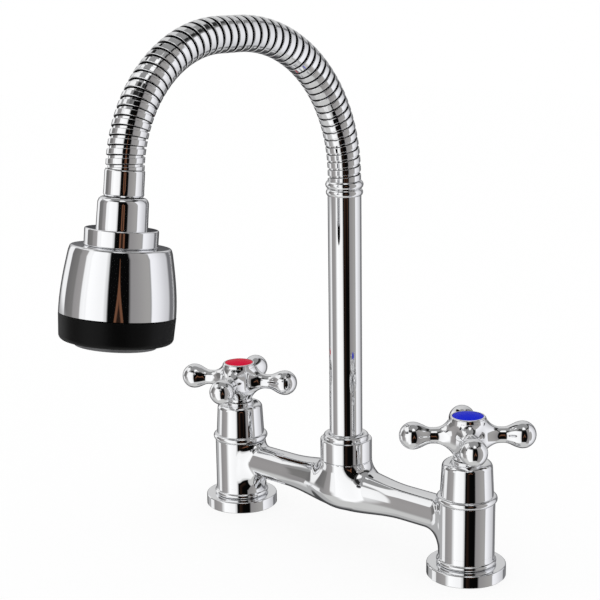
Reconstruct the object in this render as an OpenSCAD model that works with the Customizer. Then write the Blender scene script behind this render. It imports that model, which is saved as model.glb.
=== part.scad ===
// Two-hole bridge faucet for a kitchen sink, with two cross handles, a swivelling riser,
// a ribbed metal gooseneck hose that bends by hand and stays put, and a two-way spray head.
// Lengths are in millimetres. The deck is the plane z = 0 and the riser stands on the z axis.
// Hot is at -x, cold is at +x, and the spout reaches over the sink towards -y.

/* [Bridge body] */
// Distance between the two inlets
inlet_spacing = 200; // [170:1:260]
// Outer diameter of the pillars
pillar_d = 36; // [35:0.5:42]
// Height of the pillars above the deck flanges
pillar_h = 41; // [39:0.5:50]
// Height of the bridge axis above the deck flanges
arm_rise = 27.5; // [26.5:0.5:29]
// Outer diameter of the bridge arms
arm_d = 24.6; // [22:0.2:26]
// Bore of the bridge arms
arm_bore = 12; // [8:0.5:14]
// Length of the throat where an arm opens out into a pillar
throat_run = 13; // [8:0.5:18]
// How far the throat's side stays inside the pillar's side
throat_inset = 1.5; // [1:0.25:3]
// Half the length over which the bridge swells towards its middle
swell_run = 45; // [30:1:55]
// Diameter of the swelling at the middle of the bridge
swell_d = 34.2; // [30:0.2:34.6]
// Diameter of the centre body that carries the riser
centre_d = 35; // [34:0.5:38]
// Height of the centre body's shoulder above the bridge axis
centre_rise = 20; // [18:0.5:24]
// Diameter of the bead at the foot of a pillar
foot_d = 38.6; // [37:0.2:44]
// Height of the bead at the foot of a pillar
foot_h = 3.4; // [2:0.2:5]
// Bore of the inlet thread
inlet_bore = 18.6; // [16:0.1:20]
// Depth of the inlet thread
inlet_depth = 15; // [10:0.5:16]

/* [Deck flanges] */
// Diameter of a deck flange
flange_d = 50.8; // [48:0.2:60]
// Thickness of a deck flange
flange_h = 8; // [6:0.5:10]
// Outer diameter of the spigot under a pillar
spigot_d = 28; // [25:0.5:30]
// Thickness of the rubber gasket let into the flange
gasket_h = 2; // [1:0.25:3]
// Width of the gasket ring
gasket_w = 6; // [4:0.5:7]

/* [Valves] */
// Diameter of the threaded part of a valve cartridge
cartridge_d = 21; // [19:0.5:24]
// Width across the flats of the cartridge's nut
nut_flats = 24; // [22:0.5:26]
// Thickness of the cartridge's nut
nut_h = 6; // [4:0.5:8]
// Diameter of the cartridge's neck
neck_d = 13; // [12:0.5:15]
// Diameter of the spindle
spindle_d = 8; // [7:0.25:9]
// Thickness of a ceramic disc
disc_h = 2; // [1.5:0.1:2.5]
// Thickness of the rubber seat
seat_h = 2.4; // [1.5:0.1:3]

/* [Shrouds] */
// Diameter of the bead at the foot of a shroud
bead_d = 38.8; // [37:0.2:44]
// Height of that bead
bead_h = 4.6; // [3:0.2:6]
// Diameter of a shroud just above its bead
shroud_d = 34.2; // [32:0.2:36]
// Diameter of a shroud at its top
shroud_top_d = 32.2; // [30:0.2:34]
// Height of a shroud above the pillar
shroud_h = 26.5; // [24:0.5:32]
// Radius of the shroud's top edge
shroud_edge = 3.6; // [1:0.2:5]
// Wall of a shroud
shroud_wall = 1.8; // [1.2:0.1:2.4]
// Height of the small lip round the spindle
lip_h = 1.4; // [0.6:0.1:2.5]

/* [Cross handles] */
// Distance from a handle's axis to the centre of a ball
ball_reach = 34.5; // [30:0.5:42]
// Diameter of a ball
ball_d = 17.4; // [14:0.2:20]
// Diameter of an arm's neck
grip_d = 10.2; // [8:0.2:12]
// Height of the handle's hub
hub_h = 28; // [26:0.5:34]
// Diameter of the hub's top rim
hub_top_d = 22.6; // [21:0.2:26]
// Diameter of the hub at its arms
hub_mid_d = 25.6; // [24:0.2:28]
// Diameter of the hub's foot
hub_foot_d = 17.6; // [15:0.2:20]
// Height of the arms above the hub's foot
grip_rise = 15.4; // [14.5:0.2:17]
// Diameter of the coloured button
button_d = 19.8; // [16:0.2:20.2]
// Height of the button's dome
button_dome = 1.2; // [0.4:0.1:2]
// Angle of the hot handle's arms when closed
hot_angle = 23.8; // [0:0.1:89]
// Angle of the cold handle's arms when closed
cold_angle = 41.6; // [0:0.1:89]

/* [Riser] */
// Outer diameter of the riser tube
tube_d = 22; // [20:0.5:23]
// Wall of the riser tube
tube_wall = 1.5; // [1:0.1:2.5]
// Length of the riser tube
riser_len = 183; // [120:1:260]
// Diameter of the coupling nut
riser_nut_d = 34.8; // [34:0.2:40]
// Height of the coupling nut
riser_nut_h = 14.7; // [13:0.1:18]
// Height of the threaded boss that the nut screws onto
boss_h = 10.5; // [9:0.5:10.5]
// Diameter of the collar on top of the nut
collar_d = 30.4; // [28:0.2:31]
// How far the collar stands above the nut
collar_rise = 3.4; // [2:0.2:5]
// Diameter of the upper bead at the foot of the hose
ferrule_d = 24.8; // [24:0.1:28]
// How far the lower bead stands out from the riser tube
ferrule_wall = 1.1; // [0.9:0.05:3]
// Height of that ferrule
ferrule_h = 10; // [8:0.5:12]

/* [Gooseneck hose] */
// Outer diameter of the hose's ribs
hose_d = 21.6; // [20.8:0.1:22.4]
// Diameter of the grooves between the ribs
groove_d = 19; // [18.4:0.1:19.4]
// Bore of the metal hose
hose_bore = 15; // [13:0.1:15.6]
// Number of ribs
rib_count = 48; // [40:8:64]
// Share of the pitch that a rib takes
rib_share = 0.55; // [0.5:0.01:0.6]
// Radius of the bend above the riser
rise_bend = 95; // [80:1:130]
// Length of the nearly straight stretch at the top
crown_run = 16.5; // [5:0.5:40]
// Radius of the bend above the spray head
fall_bend = 76; // [70:1:120]
// Lean of the spray head away from the riser, in degrees
head_lean = 7; // [0:0.1:20]
// Straight run of the hose at each of its ends
end_run = 3; // [2:0.5:10]
// Outer diameter of the plastic water tube inside
liner_d = 14.4; // [11:0.1:14.4]
// Wall of that tube
liner_wall = 2; // [1:0.1:3]

/* [Spray head] */
// Diameter of the crimped sleeve at its top
sleeve_d = 22.4; // [22.2:0.1:26]
// Length of that sleeve
sleeve_h = 15; // [10:0.5:20]
// Diameter of the union nut at its foot
union_d = 29; // [27:0.2:33]
// Height of the union nut with its shoulder
union_h = 18; // [14:0.5:24]
// Diameter of the collar above the bell
disc_d = 41.4; // [36:0.2:48]
// Height of that collar
head_disc_h = 9.8; // [6:0.2:14]
// Diameter of the bell at its top
bell_top_d = 57; // [52:0.2:62]
// Diameter of the bell at its foot
bell_d = 65.8; // [60:0.2:72]
// Height of the bell
bell_h = 38; // [32:0.5:50]
// Wall of the bell
bell_wall = 2; // [1.2:0.1:3]
// Diameter of the black ring
ring_d = 66; // [60:0.2:72]
// Height of the black ring
ring_h = 15.5; // [12:0.5:24]
// Wall of the black ring
ring_wall = 3; // [2:0.1:5]
// Radius of the black ring's bottom edge
ring_edge = 3.2; // [1:0.2:4]
// Diameter of the raised middle of the spray face
face_d = 46; // [36:0.5:50]
// How far that middle stands below the ring
face_rise = 2.8; // [0.5:0.1:4]
// Diameter of the aerator
aerator_d = 20; // [14:0.5:24]
// Rows of spray nozzles
nozzle_rows = 3; // [1:1:4]
// Diameter of a spray nozzle
nozzle_d = 1.7; // [1:0.1:2.2]

/* [Clearances] */
// Gap between pieces of one rigid group round a curved seat
fit_gap = 0.1; // [0.05:0.01:0.15]
// Running gap between pieces that turn on each other
run_gap = 0.08; // [0.03:0.01:0.1]
// Gap between pieces that must stay clear of each other
free_gap = 0.4; // [0.3:0.05:0.6]

/* [Hidden] */
$fn = 96;
chrome = [0.80, 0.81, 0.83];
brass = [0.78, 0.62, 0.30];

// heights of the fixed parts
pillar_top = flange_h + pillar_h;
axis_z = flange_h + arm_rise;
tee_top = axis_z + centre_rise;
chamber_d = cartridge_d + 2 * fit_gap;
inlet_shelf = 3;
port_inset = 1.5;
cage_wall = 1.6;
seat_rim = 3.5;
seat_z = axis_z - arm_bore / 2 - seat_rim;
shroud_top = pillar_top + shroud_h;
lip_top = shroud_top + lip_h;

// heights of the turning parts of a valve
disc_z = seat_z + seat_h;
turning_z = disc_z + disc_h + run_gap;
cage_r = spindle_d / 2 + 3.2;
stem_z = turning_z + disc_h;
stem_h = 3.6;
cage_h = stem_h + 0.4;
hub_z = lip_top + free_gap;
grip_z = hub_z + grip_rise;
hub_top = hub_z + hub_h;
button_h = 2.2;
spline_d = spindle_d + 1.4;
spline_rise = 4;
spline_h = 12;
spindle_top = hub_z + spline_rise + spline_h;
screw_d = 4;
screw_head_d = 7.6;
screw_head_h = 3;
screw_grip = 8;
screw_floor = 2.6;
screw_z = spindle_top + screw_floor;

// the riser's seat in the centre body
tube_port_d = tube_d - 2;
foot_wall = 1.9;
foot_r = tube_d / 2 + foot_wall;
foot_depth = 11;
socket_r = foot_r + run_gap;
socket_wall = 2.3;
boss_r = socket_r + socket_wall;
boss_top = tee_top + boss_h;
foot_bottom = tee_top - foot_depth;
tube_z = tee_top + 0.5;
washer_h = 1.4;
foot_top = boss_top - washer_h - 0.1;
seal_w = 1.7;
seal_groove_w = 2;
seal_step = 4.4;
seal_z = foot_bottom + 3.2;
web_z = boss_top + 0.3;
web_h = 1.1;
tube_top = tube_z + riser_len;
ferrule_lap = 4;
ferrule_z = tube_top - ferrule_lap;
ferrule_top = ferrule_z + ferrule_h;

// the hose's path lies in the plane x = 0, as points [y, z]
quarter = 90;
fall_turn = quarter - head_lean;
rise_arc = rise_bend * quarter * PI / 180;
fall_arc = fall_bend * fall_turn * PI / 180;
path_1 = end_run;
path_2 = path_1 + rise_arc;
path_3 = path_2 + crown_run;
path_4 = path_3 + fall_arc;
hose_len = path_4 + end_run;
pitch = hose_len / rib_count;
rib_w = pitch * rib_share;
segments = 8;
segment_ribs = rib_count / segments;
spigot_len = 2.8;
end_spigot_d = groove_d - 0.4;
rounding_lap = 0.2;
rise_centre = [-rise_bend, ferrule_top + end_run];
crown_z = rise_centre[1] + rise_bend;
fall_centre = [-rise_bend - crown_run, crown_z - fall_bend];

// direction of the hose at distance s, as the angle turned from straight up towards -y
function turn_at(s) =
    s < path_1 ? 0 :
    s < path_2 ? quarter * (s - path_1) / rise_arc :
    s < path_3 ? quarter :
    s < path_4 ? quarter + fall_turn * (s - path_3) / fall_arc :
    quarter + fall_turn;

// point of the hose's centre line at distance s, as [x, y, z]
function point_at(s) =
    s < path_1 ? [0, 0, ferrule_top + s] :
    s < path_2 ? [0, rise_centre[0] + rise_bend * cos(turn_at(s)),
                     rise_centre[1] + rise_bend * sin(turn_at(s))] :
    s < path_3 ? [0, -rise_bend - (s - path_2), crown_z] :
    s < path_4 ? [0, fall_centre[0] + fall_bend * cos(turn_at(s)),
                     fall_centre[1] + fall_bend * sin(turn_at(s))] :
    [0, fall_centre[0] + fall_bend * cos(turn_at(s)) - (s - path_4) * sin(turn_at(s)),
        fall_centre[1] + fall_bend * sin(turn_at(s)) + (s - path_4) * cos(turn_at(s))];

// smallest gap between two ribs, on the inside of the tighter bend
rib_gap = pitch - rib_w - hose_d / 2 * pitch / min(rise_bend, fall_bend);
echo("least gap between ribs", rib_gap);
echo("length of the hose", hose_len);

// the spray head's own heights, counted from the end of the hose along its axis
union_z = sleeve_h;
disc_top_z = union_z + union_h;
bell_z = disc_top_z + head_disc_h;
ring_z = bell_z + bell_h;
ring_foot_z = ring_z + ring_h;
water_d = liner_d - 2 * liner_wall;
washer_d = hose_bore + 5;
washer_seat = 6;
core_d = 2 * (bell_top_d / 2 - bell_wall - 3);
core_plate_h = 6;
core_tube_d = aerator_d + 8;
core_step = 12;
hub_wall = 2.5;
hub_reach = 7;
aerator_reach = 12;
ring_lip = 1.6;
face_plate_h = 4;
face_flange_r = ring_d / 2 - ring_wall - fit_gap;
nozzle_inset = 2;
nozzle_pitch = (face_d / 2 - nozzle_inset - aerator_d / 2 - 1) / nozzle_rows;

// quarter of a circle that rounds a corner, from angle a to b round the point c
function arc(c, r, a, b, n = 6) =
    [for (i = [0:n]) let (t = a + (b - a) * i / n) c + r * [cos(t), sin(t)]];

module at_hot() { translate([-inlet_spacing / 2, 0, 0]) children(); }
module at_cold() { translate([inlet_spacing / 2, 0, 0]) children(); }

module ring(outer, inner, height, z = 0) {
    translate([0, 0, z])
        difference() {
            cylinder(d = outer, h = height);
            translate([0, 0, -1]) cylinder(d = inner, h = height + 2);
        }
}

// a ring with both outer edges chamfered
module soft_ring(outer, inner, height, z = 0, edge = 0.6) {
    translate([0, 0, z])
        rotate_extrude()
            polygon([[inner / 2, 0], [outer / 2 - edge, 0], [outer / 2, edge],
                     [outer / 2, height - edge], [outer / 2 - edge, height], [inner / 2, height]]);
}

// bridge body: two pillars, two hollow arms and the centre body, cast in one piece

module pillar_solid() {
    cylinder(d = spigot_d, h = flange_h + 1);
    translate([0, 0, flange_h])
        rotate_extrude()
            polygon(concat([[0, 0]],
                arc([foot_d / 2 - foot_h / 2, foot_h / 2], foot_h / 2, -90, 90),
                [[pillar_d / 2, foot_h + 0.6], [pillar_d / 2, pillar_h], [0, pillar_h]]));
}

module centre_solid() {
    ball_r = centre_d / 2;
    edge = 0.8;
    rotate_extrude()
        polygon(concat(arc([0, axis_z], ball_r, -90, 0, 9),
            [[ball_r, tee_top], [boss_r, tee_top], [boss_r, boss_top - edge],
             [boss_r - edge, boss_top], [0, boss_top]]));
}

// radius of the bridge at distance x from the middle, as far as the end of the swelling
function swell_r(x) = arm_d / 2 + (swell_d - arm_d) / 2 * pow(cos(90 * x / swell_run), 1.2);

// both arms and the swelling between them, turned about the x axis
module arms_solid() {
    reach = inlet_spacing / 2;
    steps = 9;
    half = [for (i = [0:steps]) [swell_r(swell_run * i / steps), swell_run * i / steps]];
    translate([0, 0, axis_z])
        rotate([0, 90, 0])
            rotate_extrude()
                polygon(concat([[0, -reach]], [[arm_d / 2, -reach]],
                    [for (i = [steps:-1:1]) [half[i][0], -half[i][1]]], half,
                    [[arm_d / 2, reach], [0, reach]]));
}

// throat of the arm at +x: opens out along the arm, then runs on into the pillar
module throat() {
    wall = pillar_d / 2;
    mouth = wall - throat_inset;
    drop = max(0, axis_z + mouth + 0.5 - pillar_top);
    lap = 0.4;
    inner = sqrt(wall * wall - mouth * mouth) - lap;
    neck = arm_d / 2 - drop - lap;
    steps = 6;
    translate([inlet_spacing / 2, 0, axis_z - drop])
        rotate([0, -90, 0])
            rotate_extrude()
                polygon(concat([[0, inner], [mouth, inner]],
                    [for (i = [0:steps])
                        let (t = i / steps) [neck + (mouth - neck) * pow(1 - t, 2.2), wall + throat_run * t]],
                    [[0, wall + throat_run]]));
}

module bridge_body() {
    color(chrome)
        difference() {
            union() {
                at_hot() pillar_solid();
                at_cold() pillar_solid();
                centre_solid();
                arms_solid();
                throat();
                mirror([1, 0, 0]) throat();
            }
            for (side = [-1, 1])
                translate([side * inlet_spacing / 2, 0, 0]) {
                    translate([0, 0, -1]) cylinder(d = inlet_bore, h = inlet_depth + 1);
                    cylinder(d = inlet_bore - 2 * inlet_shelf, h = seat_z + 1);
                    translate([0, 0, seat_z]) cylinder(d = chamber_d, h = pillar_top - seat_z + 1);
                }
            translate([-inlet_spacing / 2, 0, axis_z])
                rotate([0, 90, 0]) cylinder(d = arm_bore, h = inlet_spacing);
            translate([0, 0, axis_z - arm_bore / 2 - 1]) cylinder(d = tube_port_d, h = boss_h + centre_rise);
            translate([0, 0, foot_bottom - 0.5]) cylinder(r = socket_r, h = boss_top - foot_bottom + 2);
        }
}

// deck flange with its rubber gasket
module flange() {
    color(chrome)
        difference() {
            rotate_extrude()
                polygon(concat([[spigot_d / 2 + fit_gap, 0], [flange_d / 2 - 0.4, 0], [flange_d / 2, 0.4]],
                    arc([flange_d / 2 - 1, flange_h - 1], 1, 0, 90, 4),
                    [[spigot_d / 2 + fit_gap, flange_h]]));
            ring(spigot_d + 4 + 2 * gasket_w, spigot_d + 4, gasket_h + 1, -1);
        }
}

module gasket() {
    color([0.08, 0.08, 0.08])
        ring(spigot_d + 4 + 2 * gasket_w - 2 * fit_gap, spigot_d + 4 + 2 * fit_gap, gasket_h);
}

// valve cartridge: threaded body with ports, hexagon nut and neck round the spindle
module cartridge() {
    port_d = arm_bore - 2 * port_inset;
    thread_z = axis_z + arm_bore / 2 + 1;
    neck_top = shroud_top - shroud_wall - free_gap;
    color(brass)
        difference() {
            union() {
                translate([0, 0, disc_z]) cylinder(r = cage_r + cage_wall, h = pillar_top - disc_z);
                translate([0, 0, thread_z]) cylinder(d = cartridge_d, h = pillar_top - thread_z);
                translate([0, 0, pillar_top])
                    cylinder(d = nut_flats / cos(30), h = nut_h, $fn = 6);
                translate([0, 0, pillar_top]) cylinder(d = neck_d, h = neck_top - pillar_top);
            }
            translate([0, 0, disc_z - 1]) cylinder(r = cage_r, h = stem_z + cage_h - disc_z + 1);
            translate([0, 0, disc_z]) cylinder(r = spindle_d / 2 + run_gap, h = lip_top - disc_z);
            for (a = [0, 90])
                translate([0, 0, axis_z])
                    rotate([0, 90, a]) cylinder(d = port_d, h = cartridge_d, center = true);
        }
}

module seat() {
    color([0.1, 0.1, 0.1]) ring(chamber_d - 1, inlet_bore - 2 * inlet_shelf - 1, seat_h, seat_z);
}

// ceramic disc with two openings, so that a quarter turn opens or shuts the valve
module ceramic_disc(z, gap) {
    color([0.93, 0.92, 0.90])
        difference() {
            translate([0, 0, z]) cylinder(r = cage_r - gap, h = disc_h);
            for (side = [-1, 1])
                translate([side * cage_r / 2, 0, z - 1]) cylinder(d = cage_r * 0.62, h = disc_h + 2);
        }
}

// spindle: drives the turning disc, with a splined end that carries the handle
module spindle() {
    teeth = 20;
    tooth_h = 0.5;
    screw_hole_d = screw_d - 0.7;
    color(brass)
        difference() {
            union() {
                translate([0, 0, stem_z]) cylinder(r = cage_r - run_gap, h = stem_h);
                translate([0, 0, stem_z]) cylinder(d = spindle_d, h = spindle_top - stem_z);
                translate([0, 0, hub_z + spline_rise])
                    linear_extrude(spline_h)
                        polygon([for (i = [0:2 * teeth - 1])
                            let (a = i * 180 / teeth)
                            (spline_d / 2 - (i % 2) * tooth_h) * [cos(a), sin(a)]]);
            }
            translate([0, 0, spindle_top - screw_grip - 1]) cylinder(d = screw_hole_d, h = screw_grip + 2);
        }
}

// chrome shroud that screws down over the cartridge and hides it
module shroud() {
    lip_edge = 0.7;
    lip_w = 3.3;
    color(chrome)
        difference() {
            rotate_extrude()
                polygon(concat([[0, pillar_top]],
                    arc([bead_d / 2 - bead_h / 2, pillar_top + bead_h / 2], bead_h / 2, -90, 90),
                    [[shroud_d / 2, pillar_top + bead_h + 0.3]],
                    arc([shroud_top_d / 2 - shroud_edge, shroud_top - shroud_edge], shroud_edge, 0, 90),
                    [[neck_d / 2 + lip_w + 0.1, shroud_top]],
                    arc([neck_d / 2 + lip_w - lip_edge, lip_top - lip_edge], lip_edge, 0, 90, 3),
                    [[0, lip_top]]));
            translate([0, 0, pillar_top - 1])
                cylinder(r1 = shroud_d / 2 - shroud_wall, r2 = shroud_top_d / 2 - shroud_wall,
                         h = shroud_h + 1 - shroud_edge);
            translate([0, 0, pillar_top])
                cylinder(d = neck_d + 2 * free_gap, h = shroud_h - shroud_wall);
            cylinder(d = spindle_d + 2 * free_gap, h = lip_top + 1);
        }
}

// cross handle: hub, four arms that swell into it, and a ball on each
module grip() {
    neck = grip_d / 2;
    ball = ball_d / 2;
    swell = 7;
    sink = 1.2;
    start = hub_mid_d / 2 - sink;
    blend = 4;
    lean = acos((neck + blend) / (ball + blend));
    rotate([0, 90, 0])
        rotate_extrude()
            polygon(concat([[0, 0]],
                arc([neck + swell, start + swell], swell, 180 + 90, 180, 6),
                arc([neck + blend, ball_reach - (ball + blend) * sin(lean)], blend, 180, 180 - lean, 3),
                arc([0, ball_reach], ball, -lean, 90, 12)));
}

module handle(angle) {
    foot_land = 2;
    chamfer = 0.6;
    rim = 1;
    waist = grip_rise - 3;
    brow = grip_rise + 2;
    foot = hub_foot_d / 2;
    mid = hub_mid_d / 2;
    top = hub_top_d / 2;
    color(chrome)
        difference() {
            union() {
                translate([0, 0, hub_z])
                    rotate_extrude()
                        polygon(concat([[0, 0], [foot - chamfer, 0], [foot, chamfer], [foot, foot_land]],
                            [for (i = [1:6]) [foot + (mid - foot) * sin(15 * i),
                                              foot_land + (waist - foot_land) * i / 6]],
                            [for (i = [0:5]) [top + (mid - top) * cos(18 * i),
                                              brow + (hub_h - rim - 0.2 - brow) * i / 5]],
                            arc([top - rim, hub_h - rim], rim, 0, 90, 4),
                            [[0, hub_h]]));
                translate([0, 0, grip_z])
                    for (k = [0:3]) rotate(angle + 90 * k) grip();
            }
            translate([0, 0, hub_z - 1])
                cylinder(r = spline_d / 2 + fit_gap, h = 1 + spline_rise + spline_h + free_gap);
            translate([0, 0, hub_z]) cylinder(d = screw_d + 0.6, h = hub_h + 1);
            translate([0, 0, screw_z]) cylinder(d = screw_head_d + 2 * free_gap, h = hub_h);
            translate([0, 0, hub_top - button_h]) cylinder(d = button_d + 2 * fit_gap, h = button_h + 1);
        }
}

// screw that holds the handle on the spindle
module handle_screw() {
    slot_w = 1;
    slot_len = screw_head_d - 1.6;
    slot_depth = 1.4;
    color([0.7, 0.7, 0.72])
        difference() {
            union() {
                translate([0, 0, screw_z]) cylinder(d = screw_head_d, h = screw_head_h);
                translate([0, 0, spindle_top - screw_grip])
                    cylinder(d = screw_d - 0.8, h = screw_grip + screw_floor + 0.4);
            }
            translate([0, 0, screw_z + screw_head_h - slot_depth])
                for (a = [0, 90])
                    rotate(a) translate([-slot_len / 2, -slot_w / 2, 0]) cube([slot_len, slot_w, 2]);
        }
}

// domed enamel button, set into the top of the hub
module button(tint) {
    r = button_d / 2;
    edge = 0.3;
    color(tint)
        translate([0, 0, hub_top - button_h])
            rotate_extrude()
                polygon(concat([[0, 0], [r, 0], [r, button_h - edge]],
                    [for (i = [0:8])
                        let (a = 90 * i / 8) [(r - edge) * cos(a), button_h + button_dome * sin(a)]]));
}

// riser: coupling nut, collar, washer, swivelling foot with two seals, tube and ferrule
module riser_nut() {
    r = riser_nut_d / 2;
    top = tee_top + riser_nut_h;
    color(chrome)
        difference() {
            rotate_extrude()
                polygon(concat([[0, tee_top], [r - 0.5, tee_top], [r, tee_top + 0.5]],
                    arc([r - 1, top - 1], 1, 0, 90, 4), [[0, top]]));
            translate([0, 0, tee_top - 1]) cylinder(r = boss_r + fit_gap, h = web_z - tee_top + 1);
            translate([0, 0, tee_top]) cylinder(d = tube_d + 2 * run_gap, h = riser_nut_h + 1);
            translate([0, 0, web_z + web_h]) cylinder(d = collar_d + 2 * fit_gap, h = riser_nut_h);
        }
}

module riser_collar() {
    z0 = web_z + web_h;
    top = tee_top + riser_nut_h + collar_rise;
    inner = tube_d / 2 + run_gap;
    round_r = (collar_d / 2 - inner) / 2 - 0.1;
    color(chrome)
        rotate_extrude()
            polygon(concat([[inner, z0], [collar_d / 2, z0]],
                arc([collar_d / 2 - round_r, top - round_r], round_r, 0, 90, 5),
                arc([inner + round_r, top - round_r], round_r, 90, 180, 5)));
}

module riser_washer() {
    color([0.92, 0.92, 0.90])
        ring(2 * foot_r - 2 * fit_gap, tube_d + 2 * fit_gap, washer_h, foot_top);
}

module riser_foot() {
    color(brass)
        difference() {
            translate([0, 0, foot_bottom]) cylinder(r = foot_r, h = foot_top - foot_bottom);
            translate([0, 0, foot_bottom - 1]) cylinder(d = tube_d - 2 * tube_wall, h = riser_len);
            translate([0, 0, tube_z]) cylinder(d = tube_d + 2 * fit_gap, h = riser_len);
            for (i = [0, 1])
                ring(2 * foot_r + 2, 2 * (foot_r - seal_w - fit_gap), seal_groove_w,
                     seal_z + seal_step * i - seal_groove_w / 2);
        }
}

module riser_seals() {
    color([0.1, 0.1, 0.1])
        for (i = [0, 1])
            translate([0, 0, seal_z + seal_step * i])
                rotate_extrude() translate([foot_r - seal_w / 2, 0]) circle(d = seal_w, $fn = 32);
}

module riser_tube() {
    color(chrome) ring(tube_d, tube_d - 2 * tube_wall, riser_len, tube_z);
}

module hose_ferrule() {
    bead_rise = 1.4;
    bead_steps = 8;
    lower = tube_d / 2 + ferrule_wall;
    upper = ferrule_d / 2;
    color(chrome)
        translate([0, 0, ferrule_z])
            difference() {
                rotate_extrude()
                    polygon(concat([[hose_bore / 2, 0], [tube_d / 2 + 0.5, 0]],
                        [for (i = [1:2 * bead_steps])
                            let (bulge = pow(abs(sin(180 * i / bead_steps)), 0.7))
                            [(i < bead_steps ? lower : upper) - bead_rise * (1 - bulge),
                             ferrule_h * i / (2 * bead_steps)]],
                        [[hose_bore / 2, ferrule_h]]));
                translate([0, 0, -1]) cylinder(d = tube_d + 2 * fit_gap, h = 1 + ferrule_lap);
                translate([0, 0, ferrule_h - spigot_len - 0.2])
                    cylinder(d = end_spigot_d + 2 * fit_gap, h = spigot_len + 1);
            }
}

// gooseneck hose: ribs on a line of balls, cut into eight lengths that hinge on a shared ball

// puts what follows at distance s, with +z along the hose
module along(s, turn) {
    translate(point_at(s)) rotate([turn, 0, 0]) children();
}

// one rib, a ring with small chamfers
module rib() {
    edge = 0.5;
    translate([0, 0, -rib_w / 2])
        rotate_extrude()
            polygon([[0, 0], [hose_d / 2 - edge, 0], [hose_d / 2, edge],
                     [hose_d / 2, rib_w - edge], [hose_d / 2 - edge, rib_w], [0, rib_w]]);
}

// slice of a ball, from height a to b, that fills a groove
module ball_slice(d, a, b) {
    intersection() {
        sphere(d = d);
        translate([0, 0, a]) cylinder(d = d + 2, h = b - a);
    }
}

// the water way through the whole hose, as true cylinders and arcs
module hose_core(d, end_d) {
    translate([0, 0, ferrule_top - 6]) cylinder(d = d, h = 6 + end_run);
    translate([0, rise_centre[0], rise_centre[1]])
        rotate([90, 0, 90]) rotate_extrude(angle = quarter) translate([rise_bend, 0]) circle(d = d);
    translate([0, -rise_bend, crown_z]) rotate([90, 0, 0]) cylinder(d = d, h = crown_run);
    translate([0, fall_centre[0], fall_centre[1]])
        rotate([90, 0, 90]) rotate([0, 0, quarter])
            rotate_extrude(angle = fall_turn) translate([fall_bend, 0]) circle(d = d);
    along(path_4, quarter + fall_turn) translate([0, 0, -1]) cylinder(d = end_d, h = end_run + 9);
}

// one link: its ribs, the slices of ball between them that reach a little way under the ribs,
// the ball that the next link turns on and the socket on the ball before
module hose_segment(k) {
    first = (k - 1) * segment_ribs;
    last = k * segment_ribs;
    under_rib = 0.7;
    half = (pitch - rib_w) / 2 + under_rib;
    color(chrome)
        difference() {
            union() {
                for (i = [first:last - 1])
                    translate((point_at(i * pitch) + point_at((i + 1) * pitch)) / 2)
                        rotate([turn_at((i + 0.5) * pitch), 0, 0]) rib();
                for (i = [first + 1:last - 1])
                    along(i * pitch, turn_at(i * pitch)) ball_slice(groove_d, -half, half);
                if (k == 1)
                    along(0, 0)
                        translate([0, 0, -spigot_len]) cylinder(d = end_spigot_d, h = spigot_len + half);
                if (k < segments)
                    along(last * pitch, turn_at(last * pitch)) ball_slice(groove_d, -half, half + 0.2);
                else
                    along(hose_len, quarter + fall_turn)
                        translate([0, 0, -half]) cylinder(d = end_spigot_d, h = spigot_len + half);
            }
            if (k > 1)
                translate(point_at(first * pitch)) sphere(d = groove_d + 2 * run_gap);
            hose_core(hose_bore, hose_bore + rounding_lap);
        }
}

module inner_hose() {
    color([0.85, 0.85, 0.82])
        difference() {
            hose_core(liner_d, liner_d + rounding_lap);
            hose_core(water_d, water_d - rounding_lap);
        }
}

// spray head, drawn with its axis along +z from the end of the hose
module at_head() { along(hose_len, quarter + fall_turn) children(); }

module head_sleeve() {
    r = sleeve_d / 2;
    top_edge = 1.3;
    foot_flare = 0.2;
    color(chrome)
        at_head()
            difference() {
                rotate_extrude()
                    polygon(concat([[hose_bore / 2, 0]],
                        arc([r - top_edge, top_edge], top_edge, -90, 0, 4),
                        [[r + foot_flare, sleeve_h - 1], [r + foot_flare - 0.6, sleeve_h],
                         [hose_bore / 2, sleeve_h]]));
                translate([0, 0, -1]) cylinder(d = end_spigot_d + 2 * fit_gap, h = spigot_len + 1.2);
            }
}

module head_union() {
    r = union_d / 2;
    edge = 2.6;
    groove = 0.9;
    step = 0.4;
    taper = 0.3;
    color(chrome)
        at_head()
            difference() {
                translate([0, 0, union_z])
                    rotate_extrude()
                        polygon(concat([[0, 0], [sleeve_d / 2 - groove, 0], [sleeve_d / 2 + step, 1]],
                            arc([r - taper - edge, 1 + edge], edge, -70, 0, 5),
                            [[r, union_h], [0, union_h]]));
                translate([0, 0, union_z - 1]) cylinder(d = hose_bore, h = union_h + 2);
                translate([0, 0, union_z + washer_seat]) cylinder(d = washer_d, h = union_h);
            }
}

module head_washer() {
    color([0.1, 0.1, 0.1])
        at_head() ring(washer_d - 2 * fit_gap, water_d, 2, union_z + washer_seat);
}

module head_collar() {
    color(chrome)
        at_head() soft_ring(disc_d, liner_d, head_disc_h, disc_top_z, 0.9);
}

// radius of the bell's outside at share t of its height
function bell_r(t) = bell_top_d / 2 + (bell_d - bell_top_d) / 2 * sin(90 * t);

module head_bell() {
    edge = 1.6;
    color(chrome)
        at_head() translate([0, 0, bell_z])
            difference() {
                rotate_extrude()
                    polygon(concat([[liner_d / 2, 0]],
                        arc([bell_top_d / 2 - edge, edge], edge, -90, 0, 5),
                        [for (i = [1:10]) [bell_r(i / 10), edge + (bell_h - edge) * i / 10]],
                        [[liner_d / 2, bell_h]]));
                translate([0, 0, bell_wall])
                    rotate_extrude()
                        polygon(concat([[0, 0]],
                            [for (i = [0:5]) [bell_r(i / 5) - bell_wall, (bell_h - bell_wall) * i / 5]],
                            [[bell_d / 2 - bell_wall, bell_h], [0, bell_h]]));
            }
}

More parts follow.
